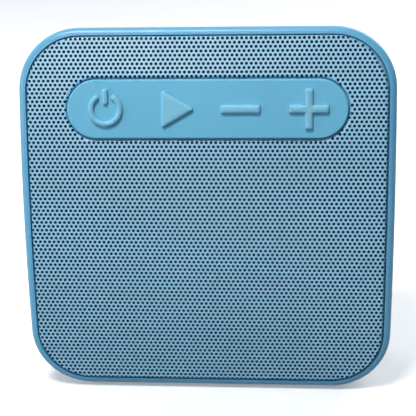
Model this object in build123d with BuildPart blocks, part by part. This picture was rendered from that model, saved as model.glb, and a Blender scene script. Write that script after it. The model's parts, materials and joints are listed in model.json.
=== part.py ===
from build123d import *
import os
from math import radians, tan

os.makedirs("parts", exist_ok=True)

# Portable loudspeaker, standing upright: +Z up, front towards -Y, millimetres.
# The origin is under the middle of the body, on the surface that the feet stand on.

# ---------------------------------------------------------------- body
body_size = 90.2  # width and height at the rim's front edge
corner_radius = 14.7
foot_height = 0.7
face_z = foot_height + body_size / 2
apex_y = -18.3  # foremost line of the domed front
parting_y = -9.5  # joint between the two shells
back_y = 19.5
draft = 3.6  # the body narrows from the rim towards the back, degrees
dome_radius = 304.0
wall = 2.0
back_edge_radius = 5.0
rim_edge_radius = 1.6
rim_recess = 0.4  # the rim lies this far behind the grille's front
rim_edge_y = apex_y + rim_recess + rim_edge_radius  # the body is full size here

# ---------------------------------------------------------------- grille and baffle
grille_size = 85.8
grille_radius = 12.75
grille_thickness = 0.6
grille_fold = 2.2
grille_gap = 0.35
rim_inner_size = grille_size + 2 * grille_gap
rim_inner_radius = grille_radius + grille_gap
ledge_width = 1.6
baffle_front = -12.9
baffle_back = -10.9
cloth_thickness = 0.3
cloth_depth = 0.65  # front of the cloth, behind the grille's front

# ---------------------------------------------------------------- button pad and keys
pad_length = 66.7
pad_height = 13.95
pad_x = 0.3  # the pad sits slightly right of the middle
pad_offset = 26.0  # above the middle of the face
pad_proud = 0.65
pad_gap = 0.15
pad_flange = 1.5
pad_edge_radius = 0.4
pad_post_wall = 0.8  # wall of the post on the baffle that carries the pad
pad_back = -14.4
key_offset = 26.05
key_proud = 1.5
key_clearance = 0.12
key_edge_radius = 0.3
key_disc_radius = 5.9
key_disc_thickness = 0.9
key_disc_gap = 0.15
key_disc_front = pad_back + key_disc_gap
key_disc_back = key_disc_front + key_disc_thickness
plunger_radius = 1.2
plunger_hole_radius = 1.35
key_pitch = 16.05
key_x = {name: pad_x + (place - 1.5) * key_pitch
         for place, name in enumerate(("power", "play", "minus", "plus"))}

# ---------------------------------------------------------------- key board and switches
key_board_front = -8.9
key_board_thickness = 1.0
key_board_back = key_board_front + key_board_thickness
key_board_length = 60.0
key_board_height = 12.0
key_screw_radius = 0.7
switch_size = 4.6
switch_front = -10.5
switch_bore_radius = 1.3
stem_radius = 1.2
stem_front = -11.3
stem_inner_length = 0.4
board_boss_x = 16.0
board_boss_radius = 2.2

# ---------------------------------------------------------------- joint between the shells
lip_length = 2.0
lip_gap = 0.05
gasket_thickness = 0.4
shell_screw_offset = 34.5
boss_radius = 3.2
column_radius = 3.8
column_front = -1.0
screw_seat = 1.0
screw_head_radius = 2.2
screw_head_height = 1.6
screw_bore_radius = 2.7
screw_shank_radius = 1.1
screw_pilot_radius = 1.15
screw_hole_radius = 1.3
pilot_spare = 0.5  # depth of the pilot past the tip
screw_slot_length = 2.4
screw_slot_width = 0.5
screw_tip = -8.0
small_screw_radius = 0.8  # shank of the driver and board screws
small_pilot_radius = 0.85
small_head_height = 1.2
small_head_radius = 1.7
small_head_edge = 0.4

# ---------------------------------------------------------------- loudspeaker driver
driver_z = 33.5
driver_gasket_thickness = 0.8
flange_front = baffle_back + driver_gasket_thickness
flange_radius = 25.0
flange_back = flange_front + 0.8
baffle_hole_radius = 21.6
driver_screw_radius = 23.2
plate_front = 1.1
plate_back = 3.6
magnet_back = 8.6
yoke_back = 10.6
pole_radius = 6.2
gap_radius = 7.9
magnet_radius = 16.0
magnet_inner_radius = 9.5
former_radius = 6.9
former_wall = 0.25
winding_radius = 7.5
cone_neck_y = -3.0
cone_edge_radius = 17.2
cone_edge_y = -10.1
cap_radius = 8.4
cap_sphere_radius = 13.0
cap_apex_y = -8.2
paper = 0.4  # thickness of the cone, cap and surround

# ---------------------------------------------------------------- electronics
board_bottom = 60.4
board_thickness = 1.2
board_top = board_bottom + board_thickness
board_length = 66.0
board_front = -6.0
board_back = 17.0
inner_back = back_y - wall
bracket_x = 27.0
bracket_reach = 42.3
bracket_thickness = 2.5
board_screw_x = 30.0
board_screw_ys = (-1.0, 12.0)
board_screw_places = [(side * board_screw_x, y) for side in (-1, 1) for y in board_screw_ys]
usb_x = -14.0
usb_width = 7.5
usb_height = 2.7
usb_z = board_top + usb_height / 2
jack_x = 14.0
jack_width = 6.4
jack_height = 5.6
jack_front = 3.2
jack_bore_radius = 1.8
jack_bore_depth = 15.0
jack_collar_radius = 3.0
jack_z = board_top + jack_height / 2
led_x = -4.0
led_z = board_top + 1.0
mic_x = 24.0
mic_z = board_top + 2.1
mic_radius = 2.0
mic_hole_radius = 0.6
light_pipe_radius = 1.0
battery_width = 50.0
battery_height = 34.0
battery_z = 33.8
battery_front = 11.3
battery_back = 17.0
protection_board_thickness = 1.2

# ---------------------------------------------------------------- feet
foot_x = 24.0
foot_length = 24.0
foot_width = 8.0
foot_y = 4.0
foot_seat = 0.8  # depth of the pocket that a foot sits in


def front(y, x=0.0, height=0.0):
    """Plane facing forwards at depth y: sketch X is right, sketch Y is up from the face's middle."""
    return Plane(origin=(x, y, face_z + height), x_dir=(1, 0, 0), z_dir=(0, -1, 0))


def body_block(inset, y_front, y_back, edge_radius=0.0):
    """The outer block of the body, drafted towards the back and shrunk by inset on every side."""
    side_inset = inset + (y_back - rim_edge_y) * tan(radians(draft))
    size = body_size - 2 * side_inset
    with BuildPart() as block:
        with BuildSketch(front(y_back)):
            RectangleRounded(size, size, corner_radius - side_inset)
        extrude(amount=y_back - y_front, taper=-draft)
        if edge_radius > 0:
            fillet(block.faces().sort_by(Axis.Y)[-1].edges(), radius=edge_radius)
    return block.part


def body_ring(outer_inset, inner_inset, y_front, y_back):
    """A ring that follows the body's outline between two insets."""
    return body_block(outer_inset, y_front, y_back) - body_block(inner_inset, y_front, y_back)


def dome(proud):
    """Everything behind the domed front surface, moved forwards by proud."""
    with BuildPart() as block:
        with BuildSketch(Plane.YZ):
            with Locations((apex_y + dome_radius, face_z)):
                Circle(dome_radius + proud)
            with Locations((0, face_z)):
                Rectangle(80, 120, mode=Mode.INTERSECT)
        extrude(amount=60, both=True)
    return block.part


def domed_square(size, radius, y_back, proud):
    """A rounded square block whose front follows the dome."""
    with BuildPart() as block:
        with BuildSketch(front(y_back)):
            RectangleRounded(size, size, radius)
        extrude(amount=20)
        add(dome(proud), mode=Mode.INTERSECT)
    return block.part


def domed_slot(grow, y_back, proud):
    """The pad's pill outline, grown on every side, as a block whose front follows the dome."""
    with BuildPart() as block:
        with BuildSketch(front(y_back, pad_x, pad_offset)):
            SlotOverall(pad_length + 2 * grow, pad_height + 2 * grow)
        extrude(amount=20)
        add(dome(proud), mode=Mode.INTERSECT)
    return block.part


# ---------------------------------------------------------------- symbols of the keys
symbol_corner = 0.5
power_stroke = 1.3
power_radius = 3.46
power_gap = 39.0  # half the opening of the ring, degrees
bar_length = 3.9
bar_offset = 3.0
power_arc = CenterArc((0, 0), power_radius, 90 + power_gap, 360 - 2 * power_gap)


def draw_power():
    SlotArc(power_arc, power_stroke)
    with Locations((0, bar_offset)):
        SlotOverall(bar_length, power_stroke, rotation=90)


def draw_play():
    with BuildLine() as outline:
        FilletPolyline((-2.7, 4.6), (-2.7, -4.6), (5.3, 0), radius=symbol_corner, close=True)
    make_face(outline.edges())


def draw_minus():
    RectangleRounded(9.45, 2.1, symbol_corner)


def draw_plus():
    RectangleRounded(9.5, 2.05, symbol_corner)
    RectangleRounded(1.95, 9.7, symbol_corner)


symbols = {"power": draw_power, "play": draw_play, "minus": draw_minus, "plus": draw_plus}

# ---------------------------------------------------------------- front housing
shell_corners = [(x, h) for x in (-shell_screw_offset, shell_screw_offset)
                 for h in (-shell_screw_offset, shell_screw_offset)]
driver_height = driver_z - face_z

rim_block = body_block(0, apex_y - 2, parting_y)
grille_pocket = domed_square(rim_inner_size, rim_inner_radius, baffle_front, 0.5) - dome(-grille_fold)
well_size = rim_inner_size - 2 * ledge_width
grille_well = domed_square(well_size, rim_inner_radius - ledge_width, baffle_front, 1)
inner_back_block = body_block(wall, baffle_back, parting_y)
lip = body_ring(1 + lip_gap, wall, parting_y, parting_y + lip_length - gasket_thickness)

with BuildPart() as front_housing:
    add(rim_block)
    add(dome(-rim_recess), mode=Mode.INTERSECT)
    fillet(front_housing.edges().filter_by_position(Axis.Y, apex_y - 1, baffle_front), rim_edge_radius)
    add(grille_pocket, mode=Mode.SUBTRACT)
    add(grille_well, mode=Mode.SUBTRACT)
    add(inner_back_block, mode=Mode.SUBTRACT)
    add(lip)
    with BuildSketch(front(pad_back)):
        with Locations((pad_x, pad_offset)):
            SlotOverall(pad_length + 2 * pad_flange, pad_height + 2 * pad_flange)
            SlotOverall(pad_length - 2 * pad_post_wall, pad_height - 2 * pad_post_wall,
                        mode=Mode.SUBTRACT)
    extrude(amount=pad_back - baffle_front)
    with BuildSketch(front(baffle_back)):
        with Locations(*shell_corners):
            Circle(boss_radius)
    extrude(amount=baffle_back - column_front)
    with BuildSketch(front(baffle_back)):
        with Locations((-board_boss_x, key_offset), (board_boss_x, key_offset)):
            Circle(board_boss_radius)
    extrude(amount=baffle_back - key_board_front)
    with BuildSketch(front(baffle_back)):
        with Locations((0, driver_height)):
            Circle(baffle_hole_radius)
        with Locations(*[(x, key_offset) for x in key_x.values()]):
            Circle(plunger_hole_radius)
    extrude(amount=baffle_back - baffle_front, mode=Mode.SUBTRACT)
    with BuildSketch(front(column_front)):
        with Locations(*shell_corners):
            Circle(screw_pilot_radius)
    extrude(amount=column_front - screw_tip + pilot_spare, mode=Mode.SUBTRACT)
    with BuildSketch(front(key_board_front)):
        with Locations((-board_boss_x, key_offset), (board_boss_x, key_offset)):
            Circle(key_screw_radius + 0.05)
    extrude(amount=key_board_front - baffle_back + 1.0, mode=Mode.SUBTRACT)
    with BuildSketch(front(baffle_back, height=driver_height)):
        with PolarLocations(driver_screw_radius, 4, start_angle=45):
            Circle(small_pilot_radius)
    extrude(amount=1.6, mode=Mode.SUBTRACT)

# ---------------------------------------------------------------- rear shell
shell_inside = body_block(wall, parting_y, inner_back, back_edge_radius - wall)
rabbet = body_block(1.0, parting_y, parting_y + lip_length)

with BuildPart() as foot_blanks:
    with BuildSketch(Plane.XY):
        with Locations((-foot_x, foot_y), (foot_x, foot_y)):
            SlotOverall(foot_length, foot_width, rotation=90)
    extrude(amount=6)
    add(body_block(foot_seat, parting_y, back_y + 2), mode=Mode.SUBTRACT)

with BuildPart() as rear_shell:
    add(body_block(0, parting_y, back_y, back_edge_radius))
    add(shell_inside, mode=Mode.SUBTRACT)
    add(rabbet, mode=Mode.SUBTRACT)
    with BuildSketch(front(inner_back)):
        with Locations(*shell_corners):
            Circle(column_radius)
    extrude(amount=inner_back - column_front)
    with BuildSketch(front(inner_back)):
        for side in (-1, 1):
            reach = bracket_reach - bracket_x
            with Locations((side * (bracket_x + reach / 2), board_bottom - face_z - bracket_thickness / 2)):
                Rectangle(reach, bracket_thickness)
    extrude(amount=inner_back + 4.0)
    with BuildSketch(front(back_y)):
        with Locations(*shell_corners):
            Circle(screw_bore_radius)
    extrude(amount=back_y - screw_seat, mode=Mode.SUBTRACT)
    with BuildSketch(front(screw_seat)):
        with Locations(*shell_corners):
            Circle(screw_hole_radius)
    extrude(amount=screw_seat - column_front, mode=Mode.SUBTRACT)
    with BuildSketch(Plane.XY.offset(board_bottom)):
        with Locations(*board_screw_places):
            Circle(small_pilot_radius)
    extrude(amount=-2.0, mode=Mode.SUBTRACT)
    with BuildSketch(front(back_y)):
        with Locations((usb_x, usb_z - face_z)):
            RectangleRounded(usb_width + 0.6, usb_height + 0.6, 0.8)
        with Locations((jack_x, jack_z - face_z)):
            Circle(jack_collar_radius + 0.1)
        with Locations((led_x, led_z - face_z)):
            Circle(light_pipe_radius + 0.05)
        with Locations((mic_x, mic_z - face_z)):
            Circle(mic_hole_radius)
    extrude(amount=wall, mode=Mode.SUBTRACT)
    with BuildSketch(front(back_y)):
        with Locations((usb_x, usb_z - face_z)):
            RectangleRounded(usb_width + 3.4, usb_height + 3.4, 2.0)
        with Locations((jack_x, jack_z - face_z)):
            Circle(jack_collar_radius + 1.4)
    extrude(amount=0.6, mode=Mode.SUBTRACT)
    add(foot_blanks.part, mode=Mode.SUBTRACT)

with BuildPart() as rubber_feet:
    add(foot_blanks.part)
    fillet(rubber_feet.faces().group_by(Axis.Z)[0].edges(), radius=0.3)

with BuildPart() as shell_gasket:
    add(body_ring(1 + lip_gap, wall, parting_y + lip_length - gasket_thickness, parting_y + lip_length))

with BuildPart() as shell_screws:
    with BuildSketch(front(screw_seat + screw_head_height)):
        with Locations(*shell_corners):
            Circle(screw_head_radius)
    extrude(amount=screw_head_height)
    fillet(shell_screws.faces().group_by(Axis.Y)[-1].edges(), radius=0.5)
    with BuildSketch(front(screw_seat)):
        with Locations(*shell_corners):
            Circle(screw_shank_radius)
    extrude(amount=screw_seat - screw_tip)
    chamfer(shell_screws.faces().group_by(Axis.Y)[0].edges(), length=0.5)
    with BuildSketch(front(screw_seat + screw_head_height)):
        with Locations(*shell_corners):
            Rectangle(screw_slot_length, screw_slot_width)
            Rectangle(screw_slot_width, screw_slot_length)
    extrude(amount=1.0, mode=Mode.SUBTRACT)

# ---------------------------------------------------------------- grille and cloth
grille_inside = grille_size - 2 * grille_thickness
grille_hollow = domed_square(grille_inside, grille_radius - grille_thickness, -5, -grille_thickness)

with BuildPart() as grille:
    add(domed_square(grille_size, grille_radius, -8, 0))
    fillet(grille.faces().sort_by(Axis.Y)[0].edges(), radius=0.8)
    add(grille_hollow, mode=Mode.SUBTRACT)
    add(dome(-grille_fold), mode=Mode.SUBTRACT)
    add(domed_slot(pad_gap, -10, 5), mode=Mode.SUBTRACT)

cloth_size = grille_inside - 0.4
with BuildPart() as dust_cloth:
    add(domed_square(cloth_size, grille_radius - grille_thickness - 0.2, -10, -cloth_depth))
    add(dome(-cloth_depth - cloth_thickness), mode=Mode.SUBTRACT)
    add(domed_slot(pad_gap, -10, 5), mode=Mode.SUBTRACT)

# ---------------------------------------------------------------- button pad and keys
pad_flange_block = domed_slot(pad_flange, pad_back, -(cloth_depth + cloth_thickness + 0.1))

with BuildPart() as button_pad:
    add(domed_slot(0, pad_back, pad_proud))
    fillet(button_pad.faces().sort_by(Axis.Y)[0].edges(), radius=pad_edge_radius)
    add(pad_flange_block)
    for name, x in key_x.items():
        with BuildSketch(front(pad_back, x, key_offset)):
            symbols[name]()
            offset(amount=key_clearance)
        extrude(amount=10, mode=Mode.SUBTRACT)

keys = {}
for name, x in key_x.items():
    with BuildPart() as key:
        with BuildSketch(front(key_disc_front, x, key_offset)):
            symbols[name]()
        extrude(amount=10)
        add(dome(key_proud), mode=Mode.INTERSECT)
        symbol_face = key.faces().filter_by(Axis.Y, reverse=True).group_by(Axis.Y)[0]
        fillet(symbol_face.edges(), radius=key_edge_radius)
        with BuildSketch(front(key_disc_back, x, key_offset)):
            Circle(key_disc_radius)
        extrude(amount=key_disc_thickness)
        with BuildSketch(front(key_disc_back, x, key_offset)):
            Circle(plunger_radius)
        extrude(amount=key_disc_back - stem_front)
    keys[name] = key

# ---------------------------------------------------------------- key board
stems = {}
for name, x in key_x.items():
    with BuildPart() as stem:
        with BuildSketch(front(stem_front, x, key_offset)):
            Circle(stem_radius)
        extrude(amount=stem_front - switch_front - stem_inner_length)
    stems[name] = stem

switch_places = [(x, key_offset) for x in key_x.values()]
board_boss_places = [(-board_boss_x, key_offset), (board_boss_x, key_offset)]

with BuildPart() as switch_bodies:
    with BuildSketch(front(key_board_front)):
        with Locations(*switch_places):
            RectangleRounded(switch_size, switch_size, 0.4)
    extrude(amount=key_board_front - switch_front)
    with BuildSketch(front(switch_front)):
        with Locations(*switch_places):
            Circle(switch_bore_radius)
    extrude(amount=-1.0, mode=Mode.SUBTRACT)

with BuildPart() as key_board:
    with BuildSketch(front(key_board_back)):
        with Locations((0, key_offset)):
            RectangleRounded(key_board_length, key_board_height, 1.0)
        with Locations(*board_boss_places):
            Circle(1.0, mode=Mode.SUBTRACT)
    extrude(amount=key_board_thickness)

with BuildPart() as key_board_screws:
    with BuildSketch(front(key_board_back + small_head_height)):
        with Locations(*board_boss_places):
            Circle(small_head_radius)
    extrude(amount=small_head_height)
    fillet(key_board_screws.faces().group_by(Axis.Y)[-1].edges(), radius=small_head_edge)
    with BuildSketch(front(key_board_back)):
        with Locations(*board_boss_places):
            Circle(key_screw_radius)
    extrude(amount=3.6)

ribbon_start = key_board_back + 0.15
with BuildPart() as key_ribbon:
    with BuildSketch(Plane.YZ):
        with BuildLine():
            FilletPolyline((ribbon_start, 70.0), (ribbon_start, 62.5), (-4.0, 62.5), radius=2.0)
        trace(line_width=0.3)
    extrude(amount=4.0, both=True)

# ---------------------------------------------------------------- loudspeaker driver
driver_plane = Plane.XY.offset(driver_z)  # sketch X is the radius, sketch Y runs along the axis
driver_axis = Axis((0, 0, driver_z), (0, 1, 0))

with BuildPart() as driver_gasket:
    with BuildSketch(front(flange_front, height=driver_height)):
        Circle(flange_radius - 0.1)
        Circle(baffle_hole_radius + 0.1, mode=Mode.SUBTRACT)
        with PolarLocations(driver_screw_radius, 4, start_angle=45):
            Circle(0.95, mode=Mode.SUBTRACT)
    extrude(amount=driver_gasket_thickness)

with BuildPart() as driver_basket:
    with BuildSketch(driver_plane):
        with BuildLine():
            Polyline((flange_radius, flange_front), (flange_radius, flange_back), (21.0, flange_back),
                     (17.6, -0.6), (14.8, -0.6), (14.8, plate_front), (9.0, plate_front),
                     (9.0, 0.3), (14.0, 0.3), (14.0, -1.4), (17.0, -1.4),
                     (20.3, flange_front), close=True)
        make_face()
    revolve(axis=driver_axis)
    with BuildSketch(front(flange_back, height=driver_height)):
        with PolarLocations(driver_screw_radius, 4, start_angle=45):
            Circle(0.95)
    extrude(amount=flange_back - flange_front, mode=Mode.SUBTRACT)
    for turn in range(4):
        window = Plane(Location((0, -5.4, driver_z), (0, 90 * turn, 0)))
        with BuildSketch(window):
            RectangleRounded(14.0, 5.2, 1.5)
        extrude(amount=30, mode=Mode.SUBTRACT)

with BuildPart() as driver_screws:
    with BuildSketch(front(flange_back + small_head_height, height=driver_height)):
        with PolarLocations(driver_screw_radius, 4, start_angle=45):
            Circle(small_head_radius)
    extrude(amount=small_head_height)
    fillet(driver_screws.faces().group_by(Axis.Y)[-1].edges(), radius=small_head_edge)
    with BuildSketch(front(flange_back, height=driver_height)):
        with PolarLocations(driver_screw_radius, 4, start_angle=45):
            Circle(small_screw_radius)
    extrude(amount=3.0)

with BuildPart() as driver_top_plate:
    with BuildSketch(front(plate_back, height=driver_height)):
        Circle(14.6)
        Circle(gap_radius, mode=Mode.SUBTRACT)
    extrude(amount=plate_back - plate_front)

with BuildPart() as driver_magnet:
    with BuildSketch(front(magnet_back, height=driver_height)):
        Circle(magnet_radius)
        Circle(magnet_inner_radius, mode=Mode.SUBTRACT)
    extrude(amount=magnet_back - plate_back)
    chamfer(driver_magnet.edges().filter_by(GeomType.CIRCLE).group_by(SortBy.RADIUS)[-1], length=0.4)

with BuildPart() as driver_yoke:
    with BuildSketch(front(yoke_back, height=driver_height)):
        Circle(14.6)
    extrude(amount=yoke_back - magnet_back)
    with BuildSketch(front(magnet_back, height=driver_height)):
        Circle(pole_radius)
    extrude(amount=magnet_back - plate_front)
    chamfer(driver_yoke.faces().sort_by(Axis.Y)[-1].edges(), length=0.6)

with BuildPart() as coil_former:
    with BuildSketch(front(6.0, height=driver_height)):
        Circle(former_radius)
        Circle(former_radius - former_wall, mode=Mode.SUBTRACT)
    extrude(amount=6.5 - cone_neck_y)

with BuildPart() as voice_coil:
    with BuildSketch(front(5.5, height=driver_height)):
        Circle(winding_radius)
        Circle(former_radius, mode=Mode.SUBTRACT)
    extrude(amount=6.0)

with BuildPart() as driver_cone:
    with BuildSketch(driver_plane):
        with BuildLine():
            Polyline((former_radius, cone_neck_y), (cone_edge_radius, cone_edge_y),
                     (cone_edge_radius, cone_edge_y - paper), (former_radius, cone_neck_y - paper * 1.2),
                     close=True)
        make_face()
    revolve(axis=driver_axis)

with BuildPart() as driver_dust_cap:
    with BuildSketch(driver_plane):
        with Locations((0, cap_apex_y + cap_sphere_radius)):
            Circle(cap_sphere_radius)
            Circle(cap_sphere_radius - paper, mode=Mode.SUBTRACT)
        with Locations((cap_radius / 2, cap_apex_y)):
            Rectangle(cap_radius, 12, mode=Mode.INTERSECT)
    revolve(axis=driver_axis)

roll_radius = 1.6
roll_middle = (cone_edge_radius + 20.5) / 2
with BuildPart() as driver_surround:
    with BuildSketch(driver_plane):
        with Locations((roll_middle, flange_front - paper)):
            Circle(roll_radius + 0.2)
            Circle(roll_radius - 0.2, mode=Mode.SUBTRACT)
            with Locations((0, roll_radius)):
                Rectangle(8, 2 * roll_radius, mode=Mode.SUBTRACT)
        with Locations(((roll_middle + roll_radius + 21.4) / 2, flange_front - paper / 2)):
            Rectangle(21.4 - roll_middle - roll_radius + 0.4, paper)
    revolve(axis=driver_axis)

spider_crests = 3
spider_inner = former_radius + 0.25
spider_flat = 13.6
spider_pitch = (spider_flat - spider_inner) / spider_crests
with BuildPart() as driver_spider:
    with BuildSketch(driver_plane):
        with BuildLine():
            for crest in range(spider_crests):
                start = spider_inner + crest * spider_pitch
                middle = start + spider_pitch / 2
                ThreePointArc((start, -1.6), (start + spider_pitch / 4, -2.1), (middle, -1.6))
                ThreePointArc((middle, -1.6), (middle + spider_pitch / 4, -1.1),
                              (start + spider_pitch, -1.6))
            Line((spider_flat, -1.6), (16.6, -1.6))
        trace(line_width=0.3)
    revolve(axis=driver_axis)

terminal_z = driver_z + 22.8
terminal_base = 0.8
terminal_height = 1.4  # base and lugs together
lug_x = 2.2
with BuildPart() as driver_terminal:
    with BuildSketch(front(flange_back + terminal_base)):
        with Locations((0, terminal_z - face_z)):
            Rectangle(8.0, 3.4)
    extrude(amount=terminal_base)
    with BuildSketch(front(flange_back + terminal_height)):
        with Locations((-lug_x, terminal_z - face_z), (lug_x, terminal_z - face_z)):
            Rectangle(2.0, 2.4)
    extrude(amount=terminal_height - terminal_base)

# ---------------------------------------------------------------- main board
with BuildPart() as main_board:
    with BuildSketch(Plane.XY.offset(board_bottom)):
        with Locations((0, (board_front + board_back) / 2)):
            RectangleRounded(board_length, board_back - board_front, 1.5)
        with Locations(*board_screw_places):
            Circle(1.0, mode=Mode.SUBTRACT)
    extrude(amount=board_thickness)

with BuildPart() as board_screws:
    with BuildSketch(Plane.XY.offset(board_top)):
        with Locations(*board_screw_places):
            Circle(small_head_radius)
    extrude(amount=small_head_height)
    fillet(board_screws.faces().group_by(Axis.Z)[-1].edges(), radius=small_head_edge)
    with BuildSketch(Plane.XY.offset(board_top)):
        with Locations(*board_screw_places):
            Circle(small_screw_radius)
    extrude(amount=-board_thickness - 1.8)

chips = {
    "bluetooth_chip": ((-2.0, 7.5), (7.0, 7.0), 0.9),
    "amplifier_chip": ((23.0, 1.0), (5.0, 4.0), 1.5),
    "charge_chip": ((-24.0, 9.0), (5.0, 4.0), 1.5),
    "power_inductor": ((-22.0, 2.0), (5.0, 5.0), 3.0),
    "crystal": ((5.5, 5.5), (3.2, 2.5), 0.8),
    "status_led": ((led_x, 15.6), (1.6, 1.6), 1.2),
    "ribbon_connector": ((0.0, -2.25), (10.0, 3.5), 1.6),
}
chip_parts = {}
for name, (place, size, height) in chips.items():
    with BuildPart() as chip:
        with BuildSketch(Plane.XY.offset(board_top)):
            with Locations(place):
                Rectangle(*size)
        extrude(amount=height)
        if name == "ribbon_connector":
            with BuildSketch(Plane.XY.offset(board_top + 0.7)):
                with Locations((0, -3.6)):
                    Rectangle(8.4, 1.6)
            extrude(amount=0.4, mode=Mode.SUBTRACT)
        else:
            chamfer(chip.faces().sort_by(Axis.Z)[-1].edges(), length=0.15)
    chip_parts[name] = chip

with BuildPart() as capacitors:
    with BuildSketch(Plane.XY.offset(board_top)):
        with Locations((24.5, 8.0), (-8.0, 3.0)):
            Circle(2.5)
    extrude(amount=6.5)
    fillet(capacitors.faces().group_by(Axis.Z)[-1].edges(), radius=0.4)

connector_size = (6.0, 4.5)
connector_height = 4.6
connector_bottom = board_bottom - connector_height
with BuildPart() as battery_connector:
    with BuildSketch(Plane.XY.offset(connector_bottom)):
        with Locations((-19.0, 14.0)):
            Rectangle(*connector_size)
    extrude(amount=connector_height)

with BuildPart() as speaker_connector:
    with BuildSketch(Plane.XY.offset(connector_bottom)):
        with Locations((18.9, -0.2)):
            Rectangle(*connector_size)
    extrude(amount=connector_height)

# ---------------------------------------------------------------- sockets, lamp and microphone
usb_mouth = 19.0
usb_depth = 5.6
usb_sheet = 0.3
usb_corner = 0.6
with BuildPart() as usb_shell:
    with BuildSketch(front(usb_mouth)):
        with Locations((usb_x, usb_z - face_z)):
            RectangleRounded(usb_width, usb_height, usb_corner)
            RectangleRounded(usb_width - 2 * usb_sheet, usb_height - 2 * usb_sheet,
                             usb_corner - usb_sheet + 0.05, mode=Mode.SUBTRACT)
    extrude(amount=usb_depth)
    with BuildSketch(front(usb_mouth - usb_depth + usb_sheet)):
        with Locations((usb_x, usb_z - face_z)):
            RectangleRounded(usb_width, usb_height, usb_corner)
    extrude(amount=usb_sheet)

with BuildPart() as usb_tongue:
    with BuildSketch(front(18.4)):
        with Locations((usb_x, usb_z - face_z + 0.25)):
            Rectangle(3.6, 0.6)
    extrude(amount=4.7)

with BuildPart() as aux_jack:
    with BuildSketch(front(inner_back)):
        with Locations((jack_x, jack_z - face_z)):
            Rectangle(jack_width, jack_height)
    extrude(amount=inner_back - jack_front)
    with BuildSketch(front(back_y - 0.2)):
        with Locations((jack_x, jack_z - face_z)):
            Circle(jack_collar_radius)
    extrude(amount=wall - 0.2)
    with BuildSketch(front(back_y - 0.2)):
        with Locations((jack_x, jack_z - face_z)):
            Circle(jack_bore_radius)
    extrude(amount=jack_bore_depth - 0.2, mode=Mode.SUBTRACT)

with BuildPart() as light_pipe:
    with BuildSketch(front(back_y)):
        with Locations((led_x, led_z - face_z)):
            Circle(light_pipe_radius)
    extrude(amount=wall + 1.0)

with BuildPart() as microphone:
    with BuildSketch(front(inner_back)):
        with Locations((mic_x, mic_z - face_z)):
            Circle(mic_radius)
    extrude(amount=2.0)

# ---------------------------------------------------------------- battery
with BuildPart() as battery:
    with BuildSketch(front(battery_back)):
        with Locations((0, battery_z - face_z)):
            RectangleRounded(battery_width, battery_height, 1.5)
    extrude(amount=battery_back - battery_front)
    fillet(battery.faces().sort_by(Axis.Y)[0].edges(), radius=1.0)
with BuildPart() as battery_tape:
    with BuildSketch(front(inner_back)):
        with Locations((0, battery_z - face_z)):
            Rectangle(40.0, 24.0)
    extrude(amount=inner_back - battery_back)
battery_top = battery_z + battery_height / 2
with BuildPart() as battery_protection_board:
    with BuildSketch(Plane.XY.offset(battery_top)):
        with Locations((0, 14.2)):
            Rectangle(40.0, 4.0)
    extrude(amount=protection_board_thickness)

# ---------------------------------------------------------------- leads
lead_radius = 0.5


def lead(points, radii):
    """A lead of round section along straight runs joined by arcs."""
    with BuildPart() as wire:
        with BuildLine() as route:
            FilletPolyline(*points, radius=radii)
        with BuildSketch(Plane(origin=route.line @ 0, z_dir=route.line % 0)):
            Circle(lead_radius)
        sweep()
    return wire.part


lead_start_z = battery_top + protection_board_thickness
lead_run_z = 53.6
with BuildPart() as battery_leads:
    for start, end, depth in ((-8.0, -18.0, 13.4), (-10.5, -20.0, 15.0)):
        add(lead([(start, depth, lead_start_z), (start, depth, lead_run_z),
                  (end, depth, lead_run_z), (end, depth, connector_bottom)], 0.8))

lug_y = flange_back + terminal_height
crossing_z = 53.0  # height at which the speaker leads cross to their connector
with BuildPart() as speaker_leads:
    for lug, turn_y, crossing_y, end_x, end_y in ((lug_x, -4.6, -2.2, 18.0, -1.0),
                                                  (-lug_x, -2.8, -0.4, 19.8, 0.8)):
        add(lead([(lug, lug_y, terminal_z), (lug, turn_y, terminal_z), (10.0, crossing_y, crossing_z),
                  (end_x, end_y, crossing_z), (end_x, end_y, connector_bottom)], [1.0, 2.0, 1.0]))

# ---------------------------------------------------------------- export
pieces = {
    "front_housing": front_housing,
    "rear_shell": rear_shell,
    "shell_gasket": shell_gasket,
    "shell_screws": shell_screws,
    "rubber_feet": rubber_feet,
    "grille": grille,
    "dust_cloth": dust_cloth,
    "button_pad": button_pad,
    "switch_bodies": switch_bodies,
    "key_board": key_board,
    "key_board_screws": key_board_screws,
    "key_ribbon": key_ribbon,
    "driver_gasket": driver_gasket,
    "driver_basket": driver_basket,
    "driver_screws": driver_screws,
    "driver_top_plate": driver_top_plate,
    "driver_magnet": driver_magnet,
    "driver_yoke": driver_yoke,
    "coil_former": coil_former,
    "voice_coil": voice_coil,
    "driver_cone": driver_cone,
    "driver_dust_cap": driver_dust_cap,
    "driver_surround": driver_surround,
    "driver_spider": driver_spider,
    "driver_terminal": driver_terminal,
    "main_board": main_board,
    "board_screws": board_screws,
    "capacitors": capacitors,
    "battery_connector": battery_connector,
    "speaker_connector": speaker_connector,
    "usb_shell": usb_shell,
    "usb_tongue": usb_tongue,
    "aux_jack": aux_jack,
    "light_pipe": light_pipe,
    "microphone": microphone,
    "battery": battery,
    "battery_tape": battery_tape,
    "battery_protection_board": battery_protection_board,
    "battery_leads": battery_leads,
    "speaker_leads": speaker_leads,
}
pieces.update({name + "_key": key for name, key in keys.items()})
pieces.update({name + "_switch_stem": stem for name, stem in stems.items()})
pieces.update(chip_parts)

for name, piece in pieces.items():
    piece.part.label = name
    export_step(piece.part, f"parts/{name}.step")
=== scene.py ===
import json
from math import ceil, cos, pi, radians, sin

import bpy
import numpy as np
from mathutils import Matrix, Vector
from mathutils.geometry import delaunay_2d_cdt


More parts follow.
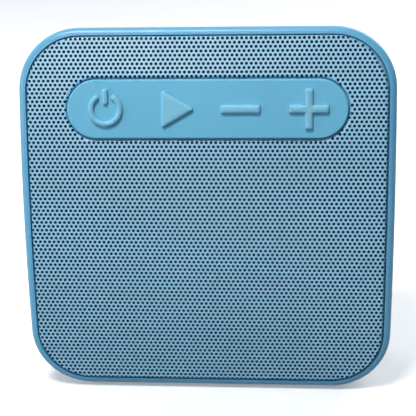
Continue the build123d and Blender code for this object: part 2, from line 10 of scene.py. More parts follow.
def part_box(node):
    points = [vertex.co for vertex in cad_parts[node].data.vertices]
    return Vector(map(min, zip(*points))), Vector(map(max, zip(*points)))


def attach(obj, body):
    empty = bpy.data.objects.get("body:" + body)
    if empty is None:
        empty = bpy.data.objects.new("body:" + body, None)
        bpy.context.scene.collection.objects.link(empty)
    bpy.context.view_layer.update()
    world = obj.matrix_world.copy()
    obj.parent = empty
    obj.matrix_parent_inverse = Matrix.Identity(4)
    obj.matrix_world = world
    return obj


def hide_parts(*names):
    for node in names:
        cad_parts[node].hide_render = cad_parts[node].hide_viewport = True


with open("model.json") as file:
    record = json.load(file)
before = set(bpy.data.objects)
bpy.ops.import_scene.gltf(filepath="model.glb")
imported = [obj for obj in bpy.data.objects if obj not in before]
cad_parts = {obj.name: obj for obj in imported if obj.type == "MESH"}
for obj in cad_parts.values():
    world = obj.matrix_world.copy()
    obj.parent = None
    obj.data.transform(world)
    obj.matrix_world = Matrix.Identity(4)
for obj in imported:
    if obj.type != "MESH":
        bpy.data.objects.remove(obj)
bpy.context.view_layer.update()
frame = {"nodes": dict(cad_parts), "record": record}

MM = 0.001
nodes = frame["nodes"]
scene = bpy.context.scene

# ---------------------------------------------------------------- measures taken from the frame
housing_low, housing_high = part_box("front_housing")
grille_low, grille_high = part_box("grille")
pad_low, pad_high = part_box("button_pad")
cloth_low, cloth_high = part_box("dust_cloth")
FACE_Z = (housing_low.z + housing_high.z) / 2
APEX_Y = grille_low.y
DOME_RADIUS = 304 * MM
HALF_GRILLE = (grille_high.x - grille_low.x) / 2
PAD_FLANGE = 1.5 * MM
PAD_GAP = 0.22 * MM  # between the pad and its window
NEARLY = 0.001 * MM  # keeps a full round end from closing its straight side
PAD_LENGTH = pad_high.x - pad_low.x - 2 * PAD_FLANGE
PAD_HEIGHT = pad_high.z - pad_low.z - 2 * PAD_FLANGE
PAD_X = (pad_low.x + pad_high.x) / 2
PAD_Z = (pad_low.z + pad_high.z) / 2


def dome_y(z):
    """Depth of the domed front at height z."""
    rise = np.asarray(z) - FACE_Z
    return APEX_Y + DOME_RADIUS - np.sqrt(DOME_RADIUS ** 2 - rise ** 2)


# ---------------------------------------------------------------- node materials
class Shader:
    """A Principled material with helpers that add the nodes of its patterns."""

    def __init__(self, name, colour, roughness=0.5, metallic=0.0, **sockets):
        self.material = bpy.data.materials.new(name)
        self.material.use_nodes = True
        self.tree = self.material.node_tree
        self.bsdf = self.tree.nodes["Principled BSDF"]
        self.colour = (*colour, 1.0)
        self.bsdf.inputs["Base Color"].default_value = self.colour
        self.bsdf.inputs["Roughness"].default_value = roughness
        self.bsdf.inputs["Metallic"].default_value = metallic
        for key, value in sockets.items():
            self.bsdf.inputs[key.replace("_", " ")].default_value = value
        self.coords = self.tree.nodes.new("ShaderNodeTexCoord")
        self.height = None

    def node(self, kind, **values):
        made = self.tree.nodes.new(kind)
        for key, value in values.items():
            setattr(made, key, value)
        return made

    def link(self, out_socket, in_socket):
        self.tree.links.new(out_socket, in_socket)

    def noise(self, scale, detail=2.0, stretch=(1, 1, 1)):
        """Noise over the object's own coordinates, in metres; scale is in cycles per metre."""
        mapping = self.node("ShaderNodeMapping")
        mapping.inputs["Scale"].default_value = stretch
        texture = self.node("ShaderNodeTexNoise")
        texture.inputs["Scale"].default_value = scale
        texture.inputs["Detail"].default_value = detail
        self.link(self.coords.outputs["Object"], mapping.inputs["Vector"])
        self.link(mapping.outputs["Vector"], texture.inputs["Vector"])
        return texture.outputs["Fac"]

    def ramp(self, value, low, high, start=0.3, end=0.7):
        """value spread from low to high, between start and end of its own range."""
        spread = self.node("ShaderNodeMapRange")
        spread.inputs["From Min"].default_value = start
        spread.inputs["From Max"].default_value = end
        spread.inputs["To Min"].default_value = low
        spread.inputs["To Max"].default_value = high
        self.link(value, spread.inputs["Value"])
        return spread.outputs["Result"]

    def tint(self, value, other, start=0.3, end=0.7):
        """Mixes the base colour towards other where value is high."""
        mix = self.node("ShaderNodeMix", data_type="RGBA")
        mix.inputs["A"].default_value = self.colour
        mix.inputs["B"].default_value = (*other, 1.0)
        self.link(self.ramp(value, 0, 1, start, end), mix.inputs["Factor"])
        self.link(mix.outputs["Result"], self.bsdf.inputs["Base Color"])
        return self

    def rough(self, value, low, high):
        self.link(self.ramp(value, low, high), self.bsdf.inputs["Roughness"])
        return self

    def bump(self, value, depth, strength=1.0):
        """Adds relief of that depth in metres."""
        relief = self.node("ShaderNodeBump")
        relief.inputs["Distance"].default_value = depth
        relief.inputs["Strength"].default_value = strength
        self.link(value, relief.inputs["Height"])
        if self.height is not None:
            self.link(self.height, relief.inputs["Normal"])
        self.height = relief.outputs["Normal"]
        self.link(self.height, self.bsdf.inputs["Normal"])
        return self


def srgb(red, green, blue):
    """Linear colour of an sRGB value given from 0 to 255."""
    return tuple(c / 12.92 if c <= 0.04045 else ((c + 0.055) / 1.055) ** 2.4
                 for c in (red / 255, green / 255, blue / 255))


def moulded(name, colour, roughness, grain=2600, depth=0.02 * MM, **sockets):
    """Moulded plastic or rubber: fine spark-eroded grain, and gentle drift of colour and gloss."""
    shader = Shader(name, colour, roughness, **sockets)
    drift = shader.noise(35, 3)
    shader.tint(drift, tuple(c * 0.93 for c in colour))
    shader.rough(shader.noise(180, 2), roughness - 0.04, roughness + 0.05)
    shader.bump(shader.noise(grain, 2), depth, 0.35)
    return shader.material


def metal(name, colour, roughness, brush=(1, 1, 1), **sockets):
    """Metal with fine scratches along one way and soft stains."""
    shader = Shader(name, colour, roughness, 1.0, **sockets)
    shader.tint(shader.noise(120, 4), tuple(c * 0.82 for c in colour))
    scratch = shader.noise(900, 3, brush)
    shader.rough(scratch, roughness - 0.07, roughness + 0.1)
    shader.bump(scratch, 0.004 * MM, 0.3)
    return shader.material


def woven(name, colour, pitch, roughness=0.9, depth=0.05 * MM, **sockets):
    """Plain woven cloth: two crossed sets of threads."""
    shader = Shader(name, colour, roughness, **sockets)
    waves = []
    for direction in ("X", "Z"):
        wave = shader.node("ShaderNodeTexWave", wave_type="BANDS", bands_direction=direction)
        wave.inputs["Scale"].default_value = pi / (10 * pitch)  # at scale 1 a band is pi / 10 long
        shader.link(shader.coords.outputs["Object"], wave.inputs["Vector"])
        waves.append(wave.outputs["Fac"])
    threads = shader.node("ShaderNodeMath", operation="MULTIPLY")
    shader.link(waves[0], threads.inputs[0])
    shader.link(waves[1], threads.inputs[1])
    shader.tint(threads.outputs["Value"], tuple(c * 2.2 + 0.002 for c in colour), 0.0, 1.0)
    shader.bump(threads.outputs["Value"], depth, 0.8)
    return shader.material


SHELL_BLUE = srgb(90, 167, 204)
GRILLE_BLUE = srgb(130, 190, 219)
PAD_BLUE = srgb(110, 188, 219)
# The symbols: the pad's silicone painted a shade lighter, a painted highlight for raised symbols that
# catch more light.
KEY_BLUE_PAINTED_LIGHT = srgb(129, 196, 221)

materials = {
    "shell": moulded("shell_plastic", SHELL_BLUE, 0.4, 2400, 0.03 * MM, IOR=1.6),
    "silicone": moulded("pad_silicone", PAD_BLUE, 0.6, 4200, 0.015 * MM, IOR=1.38),
    # Lighter copy of the pad silicone for the symbols: painted highlight.
    "key_silicone": moulded("key_silicone", KEY_BLUE_PAINTED_LIGHT, 0.55, 4200, 0.015 * MM, IOR=1.38),
    "foot_rubber": moulded("foot_rubber", srgb(38, 38, 40), 0.75, 3000, 0.03 * MM),
    "black_foam": moulded("black_foam", srgb(30, 30, 31), 0.95, 1500, 0.12 * MM),
    "screw_steel": metal("screw_steel", srgb(186, 186, 190), 0.32),
    "switch_black": moulded("switch_black", srgb(28, 28, 29), 0.5),
    "switch_metal": metal("switch_metal", srgb(200, 200, 202), 0.3, (1, 1, 6)),
    "board_green": moulded("board_green", srgb(14, 92, 48), 0.35, 700, 0.02 * MM),
    "board_brown": moulded("board_brown", srgb(140, 92, 50), 0.7),
    "ribbon_film": moulded("ribbon_film", srgb(188, 120, 40), 0.3, 500, 0.01 * MM),
    "basket_paint": moulded("basket_paint", srgb(34, 34, 36), 0.38, 1800, 0.02 * MM),
    "plated_iron": metal("plated_iron", srgb(178, 180, 184), 0.28),
    "ferrite": moulded("ferrite", srgb(52, 52, 55), 0.6, 900, 0.08 * MM),
    "former_foil": metal("former_foil", srgb(205, 206, 210), 0.22, (1, 8, 1)),
    "copper_winding": metal("copper_winding", srgb(190, 110, 62), 0.3, (1, 40, 1)),
    "cone_paper": moulded("cone_paper", srgb(36, 35, 34), 0.85, 700, 0.2 * MM),
    "surround_rubber": moulded("surround_rubber", srgb(26, 26, 27), 0.6),
    "spider_cloth": woven("spider_cloth", srgb(176, 140, 66), 0.6 * MM),
    "capacitor_can": metal("capacitor_can", srgb(196, 197, 200), 0.25, (1, 1, 4)),
    "connector_white": moulded("connector_white", srgb(228, 222, 206), 0.45),
    "socket_steel": metal("socket_steel", srgb(205, 205, 208), 0.24),
    "jack_black": moulded("jack_black", srgb(26, 26, 27), 0.42),
    "clear_plastic": moulded("clear_plastic", srgb(232, 238, 240), 0.12, Transmission_Weight=0.7),
    "battery_foil": metal("battery_foil", srgb(176, 180, 186), 0.35),
    "lead_sleeve": moulded("lead_sleeve", srgb(168, 26, 22), 0.45),
    "chip_black": moulded("chip_black", srgb(30, 30, 31), 0.55, 2000),
    "led_body": moulded("led_body", srgb(236, 232, 210), 0.3),
    "dust_cloth": woven("dust_cloth", srgb(4, 50, 80), 0.35 * MM),
}


def grille_paint():
    """Satin paint on pressed sheet: orange peel, and slight rubbing where it is touched."""
    shader = Shader("grille_paint", GRILLE_BLUE, 0.37, 0.0, IOR=2.0)
    shader.tint(shader.noise(40, 3), tuple(c * 0.94 for c in GRILLE_BLUE))
    shader.rough(shader.noise(260, 3), 0.34, 0.4)
    shader.bump(shader.noise(1300, 2), 0.006 * MM, 0.3)
    return shader.material


materials["grille_paint"] = grille_paint()
# The sheet's inside and the walls of its holes: a darker blue that stands in for the shade inside the
# holes, painted shade.
grille_inside_painted_shade = moulded("grille_inside_painted_shade", srgb(8, 78, 118), 0.7, 1300, 0.01 * MM)


# ---------------------------------------------------------------- mesh helpers
# Outlines are points (x, height above the middle of the face) that run anticlockwise seen from
# the front.
def make_piece(name, vertices, faces, material, sharp=35.0):
    """A mesh object, smooth except along edges sharper than that angle."""
    mesh = bpy.data.meshes.new(name)
    mesh.from_pydata([tuple(v) for v in vertices], [], [tuple(f) for f in faces])
    mesh.validate()
    mesh.materials.append(material)
    mesh.shade_smooth()
    mesh.set_sharp_from_angle(angle=radians(sharp))
    piece = bpy.data.objects.new(name, mesh)
    scene.collection.objects.link(piece)
    return piece


def arc_points(x, z, radius, start, end, count):
    """Points along an arc about (x, z), both ends included."""
    angles = np.linspace(start, end, count)
    return np.stack([x + radius * np.cos(angles), z + radius * np.sin(angles)], 1)


def circle_points(x, z, radius, count, phase=0.0):
    """Points round a full circle, the first one at that phase."""
    return arc_points(x, z, radius, phase, phase + 2 * pi, count + 1)[:-1]


SAME_POINT = 0.01 * MM  # points nearer than this count as one


def rounded(corners, radii, arc=9, step=1.0 * MM):
    """A polygon with rounded corners; a radius of nothing keeps the corner sharp."""
    corners = np.array(corners, float)
    pieces = []
    for k, corner in enumerate(corners):
        before = corners[k - 1] - corner
        after = corners[(k + 1) % len(corners)] - corner
        before /= np.hypot(*before)
        after /= np.hypot(*after)
        if radii[k] == 0:
            pieces.append(corner[None])
            continue
        half = np.arccos(np.clip(before @ after, -1, 1)) / 2
        middle = (before + after) / np.hypot(*(before + after))
        centre = corner + middle * radii[k] / sin(half)
        first = corner + before * radii[k] / np.tan(half) - centre
        last = corner + after * radii[k] / np.tan(half) - centre
        start = np.arctan2(first[1], first[0])
        turn = (np.arctan2(last[1], last[0]) - start + pi) % (2 * pi) - pi
        pieces.append(arc_points(centre[0], centre[1], radii[k], start, start + turn, arc))
    loop = []
    for k, piece in enumerate(pieces):
        following = pieces[(k + 1) % len(pieces)][0]
        run = following - piece[-1]
        count = max(1, int(ceil(np.hypot(*run) / step)))
        between = piece[-1] + run * (np.arange(1, count) / count)[:, None]
        loop.append(np.concatenate([piece, between]))
    loop = np.concatenate(loop)
    run = loop - np.roll(loop, 1, 0)
    return loop[np.hypot(run[:, 0], run[:, 1]) > SAME_POINT]


def rounded_box(width, height, radius, arc=9, step=1.0 * MM):
    """A rectangle about the middle with rounded corners."""
    x, z = width / 2, height / 2
    return rounded([(-x, -z), (x, -z), (x, z), (-x, z)], [radius] * 4, arc, step)


def shrink(outline, inset):
    """The outline moved inwards by inset, point for point."""
    along = np.roll(outline, -1, 0) - outline
    along /= np.hypot(along[:, 0], along[:, 1])[:, None]
    inward = np.stack([-along[:, 1], along[:, 0]], 1)
    both = inward + np.roll(inward, 1, 0)
    return outline + both * (2 * inset / (both ** 2).sum(1))[:, None]


def inside(point, outline):
    """Whether the point lies inside the outline."""
    x, z = point
    first, last = outline, np.roll(outline, -1, 0)
    crossing = (first[:, 1] > z) != (last[:, 1] > z)
    first, last = first[crossing], last[crossing]
    at = first[:, 0] + (z - first[:, 1]) / (last[:, 1] - first[:, 1]) * (last[:, 0] - first[:, 0])
    return (at > x).sum() % 2 == 1


def loop_edges(start, count):
    """Pairs of following points round a closed loop."""
    return [(start + k, start + (k + 1) % count) for k in range(count)]


def triangulate(loops, loose=()):
    """Triangles over the region inside the first loop and outside the others, and all the points."""
    points = np.concatenate([*loops, np.array(loose).reshape(-1, 2)])
    owner = np.full(len(points), -1)
    edges = []
    start = 0
    for k, loop in enumerate(loops):
        owner[start:start + len(loop)] = k
        edges += loop_edges(start, len(loop))
        start += len(loop)
    found = delaunay_2d_cdt([Vector(p / MM) for p in points], edges, [], 0, 1e-6, True)
    source = [ids[0] for ids in found[3]]
    kept = []
    for face in found[2]:
        a, b, c = (source[v] for v in face)
        loop = owner[a]
        if loop >= 0 and loop == owner[b] == owner[c]:
            simple = loop > 0 and len(loops[loop]) <= FRONT_SIDES
            if simple or inside(points[[a, b, c]].mean(0), loops[loop]) == (loop > 0):
                continue
        kept.append((a, b, c))
    return points, kept


def grid_inside(loops, step, clearance):
    """Grid points inside the first loop and outside the others, clear of them all."""
    low, high = loops[0].min(0), loops[0].max(0)
    borders = np.concatenate(loops)
    found = []
    for x in np.arange(low[0] + step / 2, high[0], step):
        for z in np.arange(low[1] + step / 2, high[1], step):
            gap = np.hypot(borders[:, 0] - x, borders[:, 1] - z).min()
            if gap > clearance and inside((x, z), loops[0]):
                if not any(inside((x, z), hole) for hole in loops[1:]):
                    found.append((x, z))
    return found


def on_dome(proud):
    """A surface that stands proud of the domed front."""
    return lambda points: dome_y(FACE_Z + points[:, 1]) - proud


def at_depth(y):
    """A surface at one depth."""
    return lambda points: np.full(len(points), y)


def slab(rims, holes=(), step=None):
    """Vertices and faces of a closed body: rims of equal count from front to back, each an outline and a
    surface, a cap on the first and the last, and straight holes between them."""
    vertices = []
    faces = []
    starts = []

    def put(points, surface):
        starts.append(sum(len(v) for v in vertices))
        vertices.append(np.stack([points[:, 0], surface(points), FACE_Z + points[:, 1]], 1))
        return starts[-1]

    caps = []
    for level in (0, -1):
        outline, surface = rims[level]
        loops = [outline, *holes]
        loose = grid_inside(loops, step, step / 4) if step else []
        points, triangles = triangulate(loops, loose)
        start = put(points, surface)
        caps.append(start)
        for a, b, c in triangles:
            faces.append((start + a, start + b, start + c) if level == 0
                         else (start + a, start + c, start + b))
    count = len(rims[0][0])
    levels = [caps[0]] + [put(*rim) for rim in rims[1:-1]] + [caps[1]]
    for front, back in zip(levels, levels[1:]):
        for a, b in loop_edges(0, count):
            faces.append((front + b, front + a, back + a, back + b))
    offset = count
    for hole in holes:
        for a, b in loop_edges(offset, len(hole)):
            faces.append((caps[0] + a, caps[0] + b, caps[1] + b, caps[1] + a))
        offset += len(hole)
    return np.concatenate(vertices), faces


def turned(profile, x, z, count=48):
    """A closed body turned about a line along Y; the profile runs (radius, y) from front to back."""
    vertices = [(x, profile[0][1], z)]
    for radius, y in profile[1:-1]:
        ring = circle_points(x, z, radius, count)
        vertices += [(px, y, pz) for px, pz in ring]
    vertices.append((x, profile[-1][1], z))
    last = len(vertices) - 1
    faces = [(0, 1 + a, 1 + b) for a, b in loop_edges(0, count)]
    for level in range(len(profile) - 3):
        front = 1 + level * count
        back = front + count
        faces += [(front + b, front + a, back + a, back + b) for a, b in loop_edges(0, count)]
    back = 1 + (len(profile) - 3) * count
    faces += [(last, back + b, back + a) for a, b in loop_edges(0, count)]
    return np.array(vertices), faces


def joined(bodies):
    """Several bodies as the vertices and faces of one mesh."""
    faces = []
    offset = 0
    for vertices, body_faces in bodies:
        faces += [tuple(offset + v for v in face) for face in body_faces]
        offset += len(vertices)
    return np.concatenate([vertices for vertices, _ in bodies]), faces


EDGE_INSET = 0.07 * MM  # flat strip between a rolled edge and the cap inside it


def rolled_edge(outline, radius, proud, steps):
    """Rims that round a slab's front edge, from its flat front to its straight side."""
    rims = [(shrink(outline, radius + EDGE_INSET), on_dome(proud))]
    for k in range(steps + 1):
        angle = pi / 2 * (1 - k / steps)
        inset = radius * (1 - cos(angle))
        rims.append((shrink(outline, inset), on_dome(proud - radius + radius * sin(angle))))
    return rims


def gap_to(outline, points):
    """Distance of each point from the outline."""
    along = np.roll(outline, -1, 0) - outline
    away = points[:, None] - outline[None]
    share = np.clip((away * along).sum(2) / (along ** 2).sum(1), 0, 1)
    return np.sqrt(((away - share[..., None] * along) ** 2).sum(2)).min(1)


def crowned(outline, low, crown, reach):
    """A surface that rises from low, at the outline, by crown at that reach inside it."""
    def surface(points):
        slope = np.clip(1 - gap_to(outline, points) / reach, 0, 1)
        return dome_y(FACE_Z + points[:, 1]) - low - crown * np.sqrt(1 - slope ** 2)
    return surface


# ---------------------------------------------------------------- grille
SHEET = 0.49 * MM
BEND_RADIUS = 0.5 * MM
FOLD_DEPTH = 2.1 * MM
CORNER = 12.75 * MM
PITCH = 1.125 * MM  # between holes in a row
ROW = 0.981 * MM  # between rows
HOLE_RADIUS = 0.375 * MM
BACK_HOLE_RADIUS = 0.41 * MM
PATTERN_X = 0.15 * MM  # how far the pattern sits off the middle of the face
PATTERN_Z = 0.355 * MM
FRONT_SIDES = 10
BACK_SIDES = 4
HOLE_PHASE = 0.3
WINDOW_BEND = 0.6 * MM  # the window's edge rolls in over this width
QUARTER_BEND = BEND_RADIUS * pi / 2
FOLD_END = QUARTER_BEND + FOLD_DEPTH - BEND_RADIUS
HOLES_END = 0.52 * MM  # the last holes lie this far round the bend at the sheet's edge
HOLE_MARGIN = 0.03 * MM
HOLE_LEAST = 0.25 * MM
BEND_RING = 0.87 * MM  # a line of points that keeps the fold round


def beyond_flat(points):
    """For points of the unfolded sheet: nearest core point, outward direction, way past the flat part."""
    core = HALF_GRILLE - CORNER
    nearest = np.clip(points, -core, core)
    away = points - nearest
    length = np.maximum(np.hypot(away[:, 0], away[:, 1]), 1e-12)
    return nearest, away / length[:, None], length - (CORNER - BEND_RADIUS)


def pad_distance(x, z):
    """How far a point of the face lies outside the pad's outline."""
    reach = (PAD_LENGTH - PAD_HEIGHT) / 2
    along = x - PAD_X
    return np.hypot(along - np.clip(along, -reach, reach), FACE_Z + z - PAD_Z) - PAD_HEIGHT / 2


def fold(points, inner):
    """Places points of the unfolded sheet on its outer or inner face, domed, bent back at the edge and
    rolled in at the pad's window."""
    nearest, outward, past = beyond_flat(points)
    radius = BEND_RADIUS - SHEET if inner else BEND_RADIUS
    turn = np.clip(past / BEND_RADIUS, 0, pi / 2)
    straight = np.maximum(past - QUARTER_BEND, 0)
    out = CORNER - BEND_RADIUS + radius * np.sin(turn)
    flat = past <= 0
    placed = np.where(flat[:, None], points, nearest + outward * out[:, None])
    depth = np.where(flat, BEND_RADIUS - radius, BEND_RADIUS - radius * np.cos(turn) + straight)
    within = np.clip(1 - (pad_distance(*points.T) - PAD_GAP) / WINDOW_BEND, 0, 1)
    depth += WINDOW_BEND * (1 - np.sqrt(1 - within ** 2))
    z = FACE_Z + placed[:, 1]
    return np.stack([placed[:, 0], dome_y(z) + depth, z], 1)


def hole_places():
    """Staggered rows of holes over the sheet, up to the bend at its edge: x, z and a share of full size,
    which is smaller beside the pad's window."""
    holes = []
    rows = int(HALF_GRILLE / ROW) + 2
    columns = int(HALF_GRILLE / PITCH) + 2
    for row in range(-rows, rows + 1):
        z = DOME_RADIUS * sin((PATTERN_Z + row * ROW) / DOME_RADIUS)
        shift = 0.5 * (row % 2)
        for column in range(-columns, columns + 1):
            x = PATTERN_X + (column + shift) * PITCH
            if beyond_flat(np.array([[x, z]]))[2][0] > HOLES_END:
                continue
            room = pad_distance(x, z) - PAD_GAP - HOLE_MARGIN
            if room > HOLE_LEAST:
                holes.append((x, z, min(1.0, room / HOLE_RADIUS)))
    return np.array(holes)


def spaced(point, centres):
    """Whether the point lies clear of every hole."""
    return np.hypot(*(centres - point).T).min() > BACK_HOLE_RADIUS + HOLE_MARGIN


def ring_strip(many, few):
    """Triangles of a hole's wall between a ring of many points and one of few."""
    strip = []
    a = b = 0
    while a < many or b < few:
        if b >= few or (a < many and (a + 0.5) / many <= (b + 0.5) / few):
            strip.append(((0, a % many), (0, (a + 1) % many), (1, b % few)))
            a += 1
        else:
            strip.append(((0, a % many), (1, (b + 1) % few), (1, b % few)))
            b += 1
    return strip


def perforated_grille():
    """One folded sheet with every hole cut through it, painted outside; its inside and the walls of its
    holes are a darker blue, painted shade that makes the holes read dark.
    """
    places = hole_places()
    centres = places[:, :2]
    window = rounded_box(PAD_LENGTH + 2 * PAD_GAP, PAD_HEIGHT + 2 * PAD_GAP,
                         PAD_HEIGHT / 2 + PAD_GAP - NEARLY, 24, 0.8 * MM) + (PAD_X, PAD_Z - FACE_Z)
    half_flat = HALF_GRILLE - BEND_RADIUS

    def ring(past):
        """The sheet's outline, that far past its flat part."""
        size = 2 * (half_flat + past)
        return rounded_box(size, size, CORNER - BEND_RADIUS + past, 22, 1.0 * MM)

    outer = ring(FOLD_END)
    bends = np.concatenate([ring(BEND_RING), ring(FOLD_DEPTH)]
                           + [shrink(window, -k * WINDOW_BEND / 3) for k in (1, 2)])
    bends = bends[[spaced(point, centres) for point in bends]]
    faces = []
    sheets = []
    starts = []
    total = 0
    for inner, count, radius in ((False, FRONT_SIDES, HOLE_RADIUS), (True, BACK_SIDES, BACK_HOLE_RADIUS)):
        holes = [circle_points(x, z, radius * share, count, HOLE_PHASE) for x, z, share in places]
        points, triangles = triangulate([outer, window, *holes], bends)
        if inner:
            triangles = [(a, c, b) for a, b, c in triangles]
        faces += [(a + total, b + total, c + total) for a, b, c in triangles]
        sheets.append(fold(points, inner))
        starts.append(total)
        total += len(points)
    front, back = starts
    for a, b in loop_edges(0, len(outer)):
        faces.append((front + b, front + a, back + a, back + b))
    for a, b in loop_edges(len(outer), len(window)):
        faces.append((front + a, front + b, back + b, back + a))
    base = len(outer) + len(window)
    strip = ring_strip(FRONT_SIDES, BACK_SIDES)
    for k in range(len(centres)):
        first = front + base + k * FRONT_SIDES
        second = back + base + k * BACK_SIDES
        for triangle in strip:
            faces.append(tuple(first + i if level == 0 else second + i for level, i in triangle))
    piece = make_piece("grille_perforated", np.concatenate(sheets), faces, materials["grille_paint"], 40)
    piece.data.materials.append(grille_inside_painted_shade)
    # Back faces and hole walls take the darker blue: painted shade.
    for face in piece.data.polygons:
        if min(face.vertices) >= back or max(face.vertices) >= back + base:
            face.material_index = 1
    return piece


grille = perforated_grille()
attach(grille, "speaker")
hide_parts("grille")

# ---------------------------------------------------------------- dust cloth
CLOTH_THICKNESS = 0.3 * MM
CLOTH_DEPTH = 0.65 * MM
CLOTH_CORNER = CORNER - 0.8 * MM
cloth_size = cloth_high.x - cloth_low.x
cloth_outline = rounded_box(cloth_size, cloth_size, CLOTH_CORNER, 16, 2 * MM)
cloth_window = rounded_box(PAD_LENGTH + 2 * PAD_GAP, PAD_HEIGHT + 2 * PAD_GAP,
                           PAD_HEIGHT / 2 + PAD_GAP - NEARLY, 16, 2 * MM) + (PAD_X, PAD_Z - FACE_Z)
cloth = make_piece("cloth_behind_grille", *slab(
    [(cloth_outline, on_dome(-CLOTH_DEPTH)), (cloth_outline, on_dome(-CLOTH_DEPTH - CLOTH_THICKNESS))],
    [cloth_window], 2.5 * MM), materials["dust_cloth"])
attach(cloth, "speaker")
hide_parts("dust_cloth")

# ---------------------------------------------------------------- button pad and keys
SYMBOL_CORNER = 0.5 * MM
STROKE = 1.42 * MM
RING_RADIUS = 3.46 * MM
RING_GAP = radians(39)
BAR_LENGTH = 3.9 * MM
BAR_RISE = 3.0 * MM
PLAY_BACK = 2.7 * MM
PLAY_TIP = 5.3 * MM
PLAY_HALF = 4.6 * MM
MINUS_SIZE = (9.45 * MM, 2.1 * MM)
PLUS_REACH = (4.75 * MM, 4.85 * MM)  # sideways and upwards
PLUS_HALF = (0.975 * MM, 1.025 * MM)  # half width of the upright and of the level stroke
KEY_SLIT = 0.025 * MM  # between a symbol and the pad's hole
PAD_PROUD = 0.65 * MM
KEY_PROUD = 1.5 * MM
PAD_EDGE = 0.4 * MM
PAD_RIMS = 8
KEY_EDGE = 0.42 * MM
KEY_CROWN = 0.6 * MM  # how far a symbol's top rises from its edge
KEY_REACH = 0.95 * MM  # how far in from its edge it goes on rising
KEY_RIMS = 8
KEY_STEP = 0.25 * MM
FLANGE_FRONT = 1.05 * MM
DISC_GAP = 0.15 * MM  # the disc that joins a symbol's bodies lies this far behind the pad
DISC_THICKNESS = 0.9 * MM
DISC_RADIUS = 5.9 * MM
DISC_EDGE = 0.2 * MM
PLUNGER_RADIUS = 1.2 * MM
PLUNGER_EDGE = 0.1 * MM
OVERLAP = 0.1 * MM  # bodies of one moulding reach this far into each other


def power_outlines():
    """An open ring with round ends, and a bar in its opening."""
    start, end = pi / 2 + RING_GAP, 5 * pi / 2 - RING_GAP
    half = STROKE / 2
    tip = (RING_RADIUS * cos(end), RING_RADIUS * sin(end))
    tail = (RING_RADIUS * cos(start), RING_RADIUS * sin(start))
    ring = np.concatenate([
        arc_points(0, 0, RING_RADIUS + half, start, end, 72),
        arc_points(*tip, half, end, end + pi, 13)[1:-1],
        arc_points(0, 0, RING_RADIUS - half, end, start, 72),
        arc_points(*tail, half, start + pi, start + 2 * pi, 13)[1:-1]])
    bar = rounded_box(STROKE, BAR_LENGTH, half - NEARLY, 12) + (0, BAR_RISE)
    return [ring, bar]


def play_outlines():
    """A triangle that points right."""
    corners = [(-PLAY_BACK, PLAY_HALF), (-PLAY_BACK, -PLAY_HALF), (PLAY_TIP, 0)]
    return [rounded(corners, [SYMBOL_CORNER] * 3, 12)]


def minus_outlines():
    """One level bar."""
    return [rounded_box(*MINUS_SIZE, SYMBOL_CORNER)]


def plus_outlines():
    """A cross with sharp inner corners."""
    long_x, long_z = PLUS_REACH
    thick_x, thick_z = PLUS_HALF
    corners = [(long_x, -thick_z), (long_x, thick_z), (thick_x, thick_z), (thick_x, long_z),
               (-thick_x, long_z), (-thick_x, thick_z), (-long_x, thick_z), (-long_x, -thick_z),
               (-thick_x, -thick_z), (-thick_x, -long_z), (thick_x, -long_z), (thick_x, -thick_z)]
    r = SYMBOL_CORNER
    return [rounded(corners, [r, r, 0, r, r, 0, r, r, 0, r, r, 0])]


key_outlines = {"power": power_outlines(), "play": play_outlines(), "minus": minus_outlines(),
                "plus": plus_outlines()}
symbol_holes = []
for key_name, outlines in key_outlines.items():
    key_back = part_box(key_name + "_key")[1].y
    stem_low, stem_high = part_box(key_name + "_switch_stem")
    key_x = (stem_low.x + stem_high.x) / 2
    key_z = (stem_low.z + stem_high.z) / 2
    disc_front = pad_high.y + DISC_GAP
    disc_back = disc_front + DISC_THICKNESS
    bodies = []
    for outline in outlines:
        placed = outline + (key_x, key_z - FACE_Z)
        symbol_holes.append(shrink(placed, -KEY_SLIT))
        surface = crowned(placed, KEY_PROUD - KEY_CROWN, KEY_CROWN, KEY_REACH)
        rims = [(shrink(placed, KEY_EDGE * (k / KEY_RIMS) ** 2), surface) for k in range(KEY_RIMS, -1, -1)]
        bodies.append(slab(rims + [(placed, at_depth(disc_front + OVERLAP))], step=KEY_STEP))
    bodies.append(turned([(0, disc_front), (DISC_RADIUS - DISC_EDGE, disc_front),
                          (DISC_RADIUS, disc_front + DISC_EDGE), (DISC_RADIUS, disc_back - DISC_EDGE),
                          (DISC_RADIUS - DISC_EDGE, disc_back), (0, disc_back)], key_x, key_z))
    bodies.append(turned([(0, disc_back - OVERLAP), (PLUNGER_RADIUS, disc_back - OVERLAP),
                          (PLUNGER_RADIUS, key_back - PLUNGER_EDGE),
                          (PLUNGER_RADIUS - PLUNGER_EDGE, key_back), (0, key_back)], key_x, key_z))
    # The symbols take the lighter copy of the silicone: painted highlight.
    key = make_piece(key_name + "_key_moulding", *joined(bodies), materials["key_silicone"])
    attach(key, key_name + "_button")
    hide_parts(key_name + "_key")

pad_outline = rounded_box(PAD_LENGTH, PAD_HEIGHT, PAD_HEIGHT / 2 - NEARLY, 28) + (PAD_X, PAD_Z - FACE_Z)
flange_outline = shrink(pad_outline, -PAD_FLANGE)
pad = make_piece("button_pad_moulding", *slab(
    rolled_edge(pad_outline, PAD_EDGE, PAD_PROUD, PAD_RIMS)
    + [(pad_outline, on_dome(-FLANGE_FRONT)), (flange_outline, on_dome(-FLANGE_FRONT)),
       (flange_outline, at_depth(pad_high.y))], symbol_holes, 1.5 * MM), materials["silicone"])
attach(pad, "speaker")
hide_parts("button_pad")

# ---------------------------------------------------------------- CAD nodes that stay
for row in frame["record"]["subparts"]:
    node = nodes[row["node"]]
    if row["material_slot"] in materials:
        node.data.materials.clear()
        node.data.materials.append(materials[row["material_slot"]])


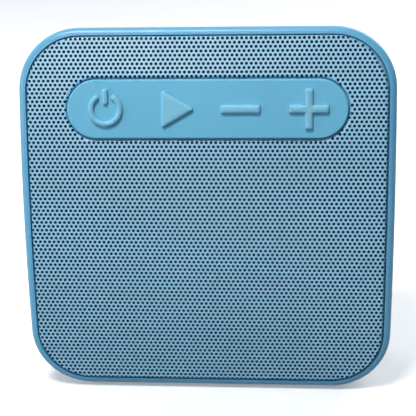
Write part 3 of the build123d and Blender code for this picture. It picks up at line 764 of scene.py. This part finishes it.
# ---------------------------------------------------------------- floor, lights and camera
FLOOR_REACH = 1.9
WALL_HEIGHT = 3.0
WALL_BEND = 0.8
WALL_STEPS = 17
FLOOR_SIDES = 96
FLOOR_GLOW = 0.24
SKY_COLOUR = (0.6, 0.93, 1.35, 1)
SKY_STRENGTH = 0.09
FACE_MIDDLE = Vector((0, 0, FACE_Z))


def around(azimuth, elevation, distance):
    """A place that far from the middle of the face; azimuth 0 is straight in front of it."""
    azimuth, elevation = radians(azimuth), radians(elevation)
    aim = Vector((sin(azimuth) * cos(elevation), -cos(azimuth) * cos(elevation), sin(elevation)))
    return FACE_MIDDLE + aim * distance


# Each light has a place, what it points at, its width and height in metres, and its power in watts.
LIGHTS = {
    "key_light": (around(-22, 56, 0.55), FACE_MIDDLE, (0.15, 0.15), 2.55),
    "side_light": (around(-65, 8, 0.34), FACE_MIDDLE, (0.1, 0.1), 0.24),
    "front_light": (around(-9, 13, 1.4), FACE_MIDDLE, (0.38, 0.3), 3.0),
    "back_light": (Vector((0, 0.35, 1.0)), Vector((0, 1.2, 0.55)), (1.6, 0.6), 8),
    "rear_light": (around(145, 38, 1.3), FACE_MIDDLE, (0.9, 0.9), 11),
    "left_light": (around(-130, 25, 1.3), FACE_MIDDLE, (0.9, 0.9), 4),
}


def floor_and_backdrop():
    """A pale round floor that curves up into a wall on every side; matt surfaces take no light from it."""
    profile = [(FLOOR_REACH - WALL_BEND + WALL_BEND * sin(a), WALL_BEND - WALL_BEND * cos(a))
               for a in np.linspace(0, pi / 2, WALL_STEPS)]
    profile.append((FLOOR_REACH, WALL_HEIGHT))
    vertices = [(0, 0, 0)]
    for radius, z in profile:
        vertices += [(x, y, z) for x, y in circle_points(0, 0, radius, FLOOR_SIDES)]
    faces = [(0, 1 + a, 1 + b) for a, b in loop_edges(0, FLOOR_SIDES)]
    for level in range(len(profile) - 1):
        low = 1 + level * FLOOR_SIDES
        high = low + FLOOR_SIDES
        faces += [(low + a, high + a, high + b, low + b) for a, b in loop_edges(0, FLOOR_SIDES)]
    shader = Shader("studio_floor", (0.9, 0.9, 0.9), 0.8, Emission_Strength=FLOOR_GLOW)
    shader.bsdf.inputs["Emission Color"].default_value = (1, 1, 1, 1)
    shader.tint(shader.noise(6, 2), (0.88, 0.88, 0.885))
    floor_piece = make_piece("studio_floor", vertices, faces, shader.material)
    floor_piece.visible_diffuse = False


def studio_light():
    """The area lights, and a weak bluish sky that fills the shadows."""
    for name, (place, target, size, power) in LIGHTS.items():
        lamp = bpy.data.lights.new(name, "AREA")
        lamp.shape = "RECTANGLE"
        lamp.size, lamp.size_y = size
        lamp.energy = power
        holder = bpy.data.objects.new(name, lamp)
        holder.location = place
        holder.rotation_euler = (target - place).to_track_quat("-Z", "Y").to_euler()
        scene.collection.objects.link(holder)
    world = bpy.data.worlds.new("studio_world")
    world.use_nodes = True
    background = world.node_tree.nodes["Background"]
    background.inputs["Color"].default_value = SKY_COLOUR
    background.inputs["Strength"].default_value = SKY_STRENGTH
    scene.world = world


CAMERA_PLACE = Vector((19.37, -266.8, 107.02)) * MM
CAMERA_YAW = radians(4.366)
CAMERA_PITCH = radians(-13.322)
CAMERA_ROLL = radians(-0.748)
CAMERA_LENS = 92.2


def camera():
    """The camera, where the photographer stood."""
    data = bpy.data.cameras.new("camera")
    data.sensor_width = 36.0
    data.lens = CAMERA_LENS
    data.clip_start = 0.01
    data.clip_end = 50.0
    holder = bpy.data.objects.new("camera", data)
    turn = (Matrix.Rotation(CAMERA_YAW, 4, "Z") @ Matrix.Rotation(pi / 2 + CAMERA_PITCH, 4, "X")
            @ Matrix.Rotation(CAMERA_ROLL, 4, "Z"))
    holder.matrix_world = Matrix.Translation(CAMERA_PLACE) @ turn
    scene.collection.objects.link(holder)
    scene.camera = holder


floor_and_backdrop()
studio_light()
camera()
scene.view_settings.view_transform = "Standard"
